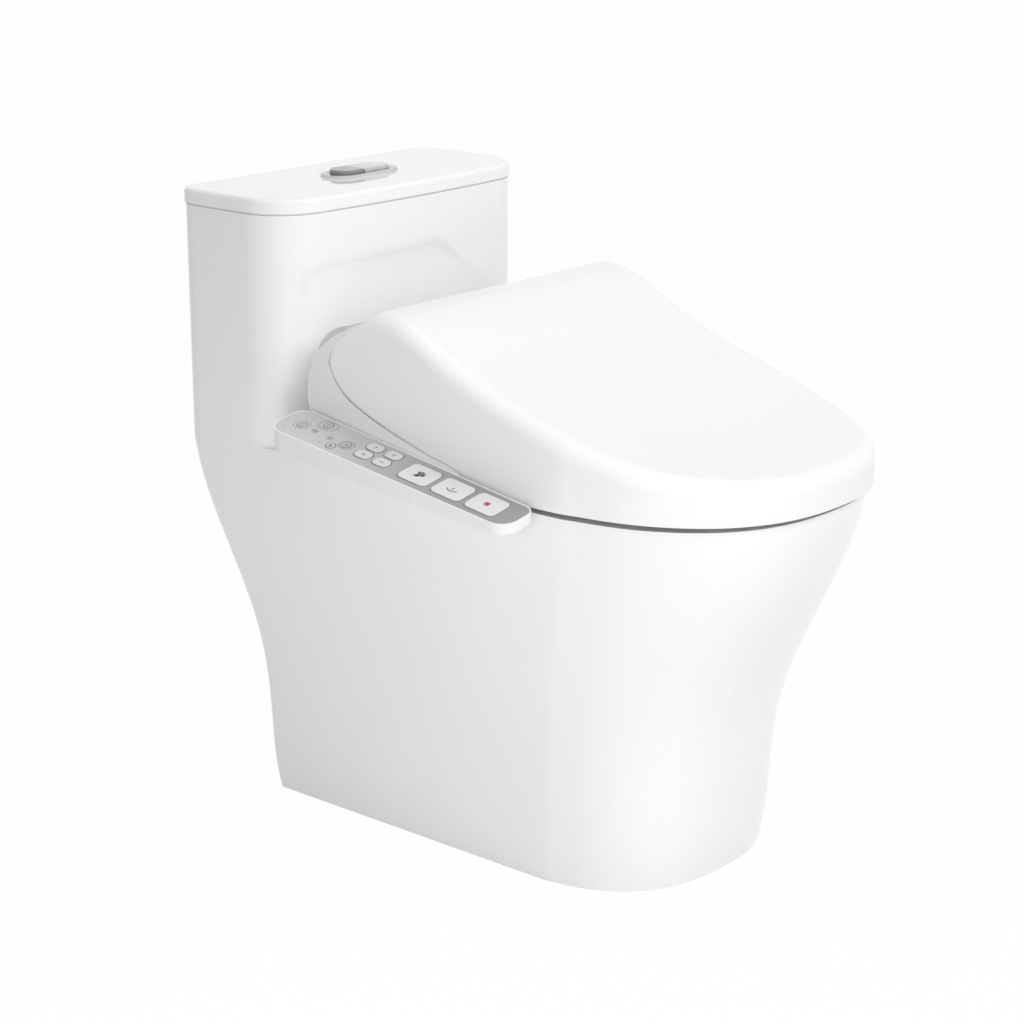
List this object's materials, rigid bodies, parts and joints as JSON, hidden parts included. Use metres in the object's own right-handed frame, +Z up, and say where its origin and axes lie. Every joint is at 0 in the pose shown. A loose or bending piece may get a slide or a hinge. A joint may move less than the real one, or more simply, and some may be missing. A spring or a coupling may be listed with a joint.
{
  "type": "smart toilet with heated seat",
  "caption": "One-piece skirted toilet with a heated wash seat: hinged seat and lid, side control arm with keys, wash nozzles, lift-off tank lid, push-button flush.",
  "frame": {"origin": "where the waste outlet's axis meets the floor", "axes": "+Z up, +Y towards the wall, -Y towards the user, -X the side of the control arm"},
  "size_m": [0.4428, 0.7025, 0.664],
  "materials": {
    "china_glaze": "gloss glaze",
    "seat_white": "gloss",
    "unit_white": "gloss",
    "fascia_grey": "satin",
    "key_white": "satin",
    "key_cream": "satin",
    "lens_clear": "clear",
    "chrome_bright": "polished",
    "chrome_dark": "polished",
    "seal_rubber": "matt",
    "bumper_rubber": "matt",
    "valve_white": "satin",
    "valve_blue": "satin",
    "valve_grey": "satin",
    "hose_soft": "satin",
    "screw_steel": "satin",
    "damper_black": "satin",
    "cradle_grey": "satin",
    "nozzle_white": "gloss",
    "heater_case": "matt",
    "inlet_brass": "satin",
    "board_green": "satin",
    "heater_foil": "satin"
  },
  "bodies": {
    "china": {"china_tank": "china_glaze", "china_rim": "china_glaze", "china_skirt": "china_glaze", "china_bowl": "china_glaze", "china_waterways": "china_glaze", "floor_outlet_seal": "seal_rubber", "flush_valve_base": "valve_white", "flush_valve_tower": "valve_white", "fill_valve_body": "valve_white", "tank_seals": "seal_rubber", "tank_nuts": "valve_grey", "refill_hose": "hose_soft", "mounting_plate": "valve_white", "mounting_bolts": "screw_steel", "mounting_nuts": "valve_grey"},
    "tank_cover": {"tank_lid": "china_glaze", "tank_lid_pads": "bumper_rubber", "flush_button_bezel": "chrome_bright", "flush_button_clamp": "valve_grey"},
    "full_flush": {"full_flush_button": "chrome_bright", "full_flush_rod": "valve_white"},
    "half_flush": {"half_flush_button": "chrome_dark", "half_flush_rod": "valve_white"},
    "flush_plunger": {"flush_valve_plunger": "valve_blue", "flush_valve_seal": "seal_rubber"},
    "tank_float": {"fill_valve_float": "valve_grey"},
    "wash_unit": {"unit_base": "unit_white", "unit_cover": "unit_white", "side_arm_body": "unit_white", "panel_fascia": "fascia_grey", "indicator_lenses": "lens_clear", "panel_circuit_board": "board_green", "hinge_pins": "screw_steel", "hinge_dampers": "damper_black", "nozzle_cradle": "cradle_grey", "nozzle_motors": "damper_black", "water_heater": "heater_case", "inlet_valve_block": "inlet_brass", "diverter_valve": "valve_grey", "control_board": "board_green", "power_cord_gland": "bumper_rubber"},
    "seat": {"seat_upper_shell": "seat_white", "seat_lower_shell": "seat_white", "seat_heater_foil": "heater_foil", "seat_bumpers": "bumper_rubber"},
    "lid": {"lid_shell": "seat_white", "lid_bumpers": "bumper_rubber"},
    "rear_nozzle": {"rear_wash_nozzle": "nozzle_white"},
    "front_nozzle": {"front_wash_nozzle": "nozzle_white"},
    "rear_wash_key_cap": {"rear_wash_key": "key_white"},
    "front_wash_key_cap": {"front_wash_key": "key_white"},
    "stop_key_cap": {"stop_key": "key_white"},
    "pressure_down_key_cap": {"pressure_down_key": "key_cream"},
    "position_down_key_cap": {"position_down_key": "key_cream"},
    "pressure_up_key_cap": {"pressure_up_key": "key_cream"},
    "position_up_key_cap": {"position_up_key": "key_cream"},
    "power_key_cap": {"power_key": "key_white"},
    "light_key_cap": {"light_key": "key_white"},
    "water_heat_key_cap": {"water_heat_key": "key_white"},
    "seat_heat_key_cap": {"seat_heat_key": "key_white"}
  },
  "joints": [
    {"name": "tank_lid_lift", "type": "slide", "parent": "china", "child": "tank_cover", "axis": [0, 0, 1], "range_m": [0, 0.06]},
    {"name": "full_flush_press", "type": "slide", "parent": "tank_cover", "child": "full_flush", "axis": [0, 0, -1], "range_m": [0, 0.006], "stiffness_N_per_m": 200, "springref_m": -0.008},
    {"name": "half_flush_press", "type": "slide", "parent": "tank_cover", "child": "half_flush", "axis": [0, 0, -1], "range_m": [0, 0.006], "stiffness_N_per_m": 200, "springref_m": -0.008},
    {"name": "flush_plunger_lift", "type": "slide", "parent": "china", "child": "flush_plunger", "axis": [0, 0, 1], "range_m": [0, 0.02]},
    {"name": "float_rise", "type": "slide", "parent": "china", "child": "tank_float", "axis": [0, 0, 1], "range_m": [0, 0.045]},
    {"name": "unit_release", "type": "slide", "parent": "china", "child": "wash_unit", "axis": [0, -1, 0], "range_m": [0, 0.06]},
    {"name": "seat_hinge", "type": "hinge", "parent": "wash_unit", "child": "seat", "pos_m": [0, 0.027, 0.488], "axis": [-1, 0, 0], "range_deg": [0, 95]},
    {"name": "lid_hinge", "type": "hinge", "parent": "seat", "child": "lid", "pos_m": [0, 0.027, 0.488], "axis": [1, 0, 0], "range_deg": [-100, 0]},
    {"name": "rear_nozzle_slide", "type": "slide", "parent": "wash_unit", "child": "rear_nozzle", "axis": [0, -0.8829, -0.4695], "range_m": [0, 0.08]},
    {"name": "front_nozzle_slide", "type": "slide", "parent": "wash_unit", "child": "front_nozzle", "axis": [0, -0.8829, -0.4695], "range_m": [0, 0.095]},
    {"name": "rear_wash_key_press", "type": "slide", "parent": "wash_unit", "child": "rear_wash_key_cap", "axis": [0.1951, 0.146, -0.9699], "range_m": [0, 0.0008], "stiffness_N_per_m": 1500, "springref_m": -0.0005},
    {"name": "front_wash_key_press", "type": "slide", "parent": "wash_unit", "child": "front_wash_key_cap", "axis": [0.1951, 0.146, -0.9699], "range_m": [0, 0.0008], "stiffness_N_per_m": 1500, "springref_m": -0.0005},
    {"name": "stop_key_press", "type": "slide", "parent": "wash_unit", "child": "stop_key_cap", "axis": [0.1951, 0.146, -0.9699], "range_m": [0, 0.0008], "stiffness_N_per_m": 1500, "springref_m": -0.0005},
    {"name": "pressure_down_key_press", "type": "slide", "parent": "wash_unit", "child": "pressure_down_key_cap", "axis": [0.1951, 0.146, -0.9699], "range_m": [0, 0.0008], "stiffness_N_per_m": 1000, "springref_m": -0.0005},
    {"name": "position_down_key_press", "type": "slide", "parent": "wash_unit", "child": "position_down_key_cap", "axis": [0.1951, 0.146, -0.9699], "range_m": [0, 0.0008], "stiffness_N_per_m": 1000, "springref_m": -0.0005},
    {"name": "pressure_up_key_press", "type": "slide", "parent": "wash_unit", "child": "pressure_up_key_cap", "axis": [0.1951, 0.146, -0.9699], "range_m": [0, 0.0008], "stiffness_N_per_m": 1000, "springref_m": -0.0005},
    {"name": "position_up_key_press", "type": "slide", "parent": "wash_unit", "child": "position_up_key_cap", "axis": [0.1951, 0.146, -0.9699], "range_m": [0, 0.0008], "stiffness_N_per_m": 1000, "springref_m": -0.0005},
    {"name": "power_key_press", "type": "slide", "parent": "wash_unit", "child": "power_key_cap", "axis": [0.1951, 0.146, -0.9699], "range_m": [0, 0.0008], "stiffness_N_per_m": 1000, "springref_m": -0.0005},
    {"name": "light_key_press", "type": "slide", "parent": "wash_unit", "child": "light_key_cap", "axis": [0.1951, 0.146, -0.9699], "range_m": [0, 0.0008], "stiffness_N_per_m": 1000, "springref_m": -0.0005},
    {"name": "water_heat_key_press", "type": "slide", "parent": "wash_unit", "child": "water_heat_key_cap", "axis": [0.1951, 0.146, -0.9699], "range_m": [0, 0.0008], "stiffness_N_per_m": 1000, "springref_m": -0.0005},
    {"name": "seat_heat_key_press", "type": "slide", "parent": "wash_unit", "child": "seat_heat_key_cap", "axis": [0.1951, 0.146, -0.9699], "range_m": [0, 0.0008], "stiffness_N_per_m": 1000, "springref_m": -0.0005}
  ],
  "couplings": [
    {"joint": "flush_plunger_lift", "follows": "full_flush_press", "ratio": 3.333}
  ]
}
